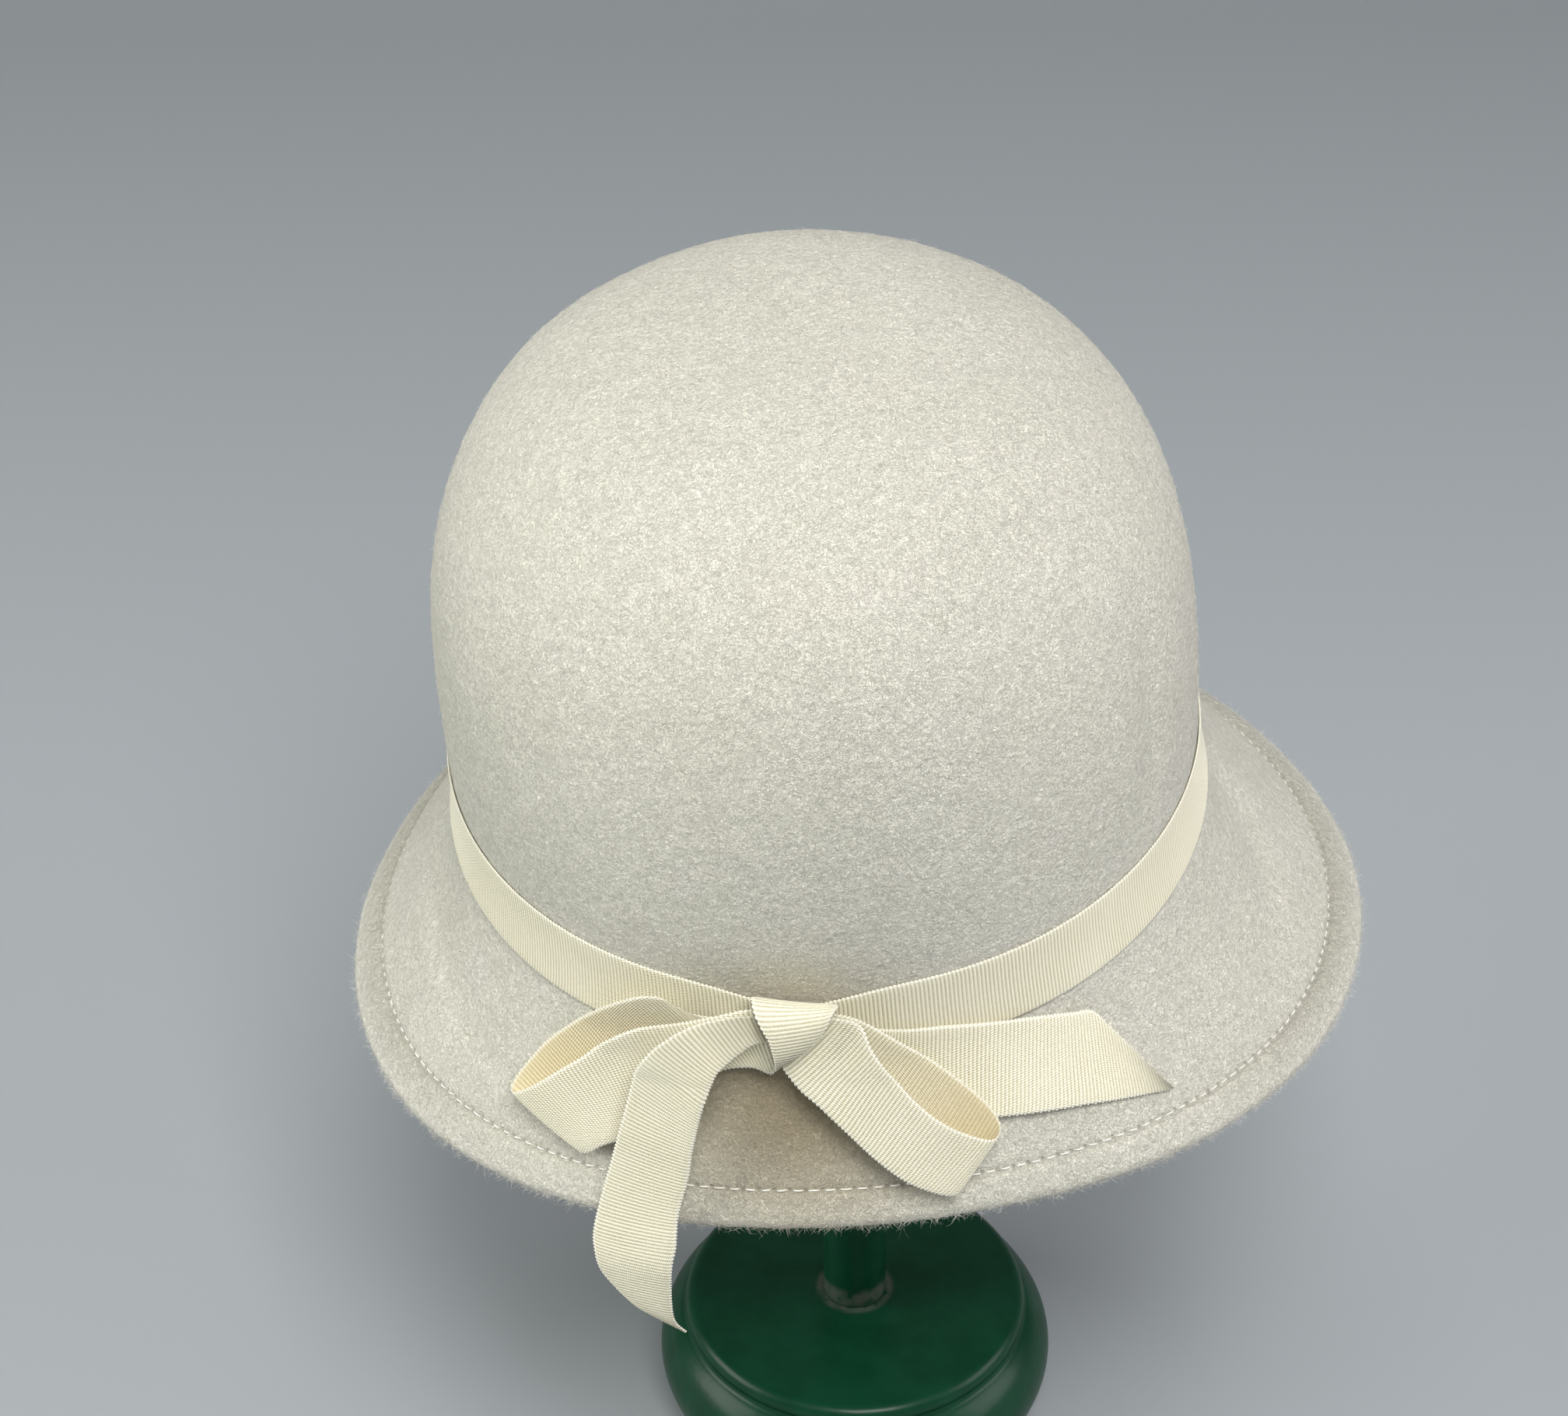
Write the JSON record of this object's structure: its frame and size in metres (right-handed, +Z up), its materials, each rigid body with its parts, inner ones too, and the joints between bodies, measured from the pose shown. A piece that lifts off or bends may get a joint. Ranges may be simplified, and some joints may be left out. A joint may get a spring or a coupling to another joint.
{
  "type": "cloche hat on a stand",
  "caption": "Felt cloche hat with a domed crown, a down-sloping brim and a ribbon band tied in a flat bow, resting on a turned stand.",
  "frame": {"origin": "centre of the stand's underside, on the post's axis", "axes": "+Z up along the post, -Y towards the bow, +X to the right as seen from the bow's side"},
  "size_m": [0.2528, 0.243, 0.3295],
  "materials": {
    "felt": "matte wool felt",
    "ribbon": "ribbed grosgrain",
    "painted_wood": "gloss paint"
  },
  "bodies": {
    "root": {"felt_body": "felt", "ribbon_band": "ribbon", "bow_knot": "ribbon", "bow_loop_left": "ribbon", "bow_loop_right": "ribbon", "bow_tail_hanging": "ribbon", "bow_tail_brim": "ribbon", "stand_base": "painted_wood", "stand_post": "painted_wood", "stand_dome": "painted_wood"}
  },
  "joints": []
}
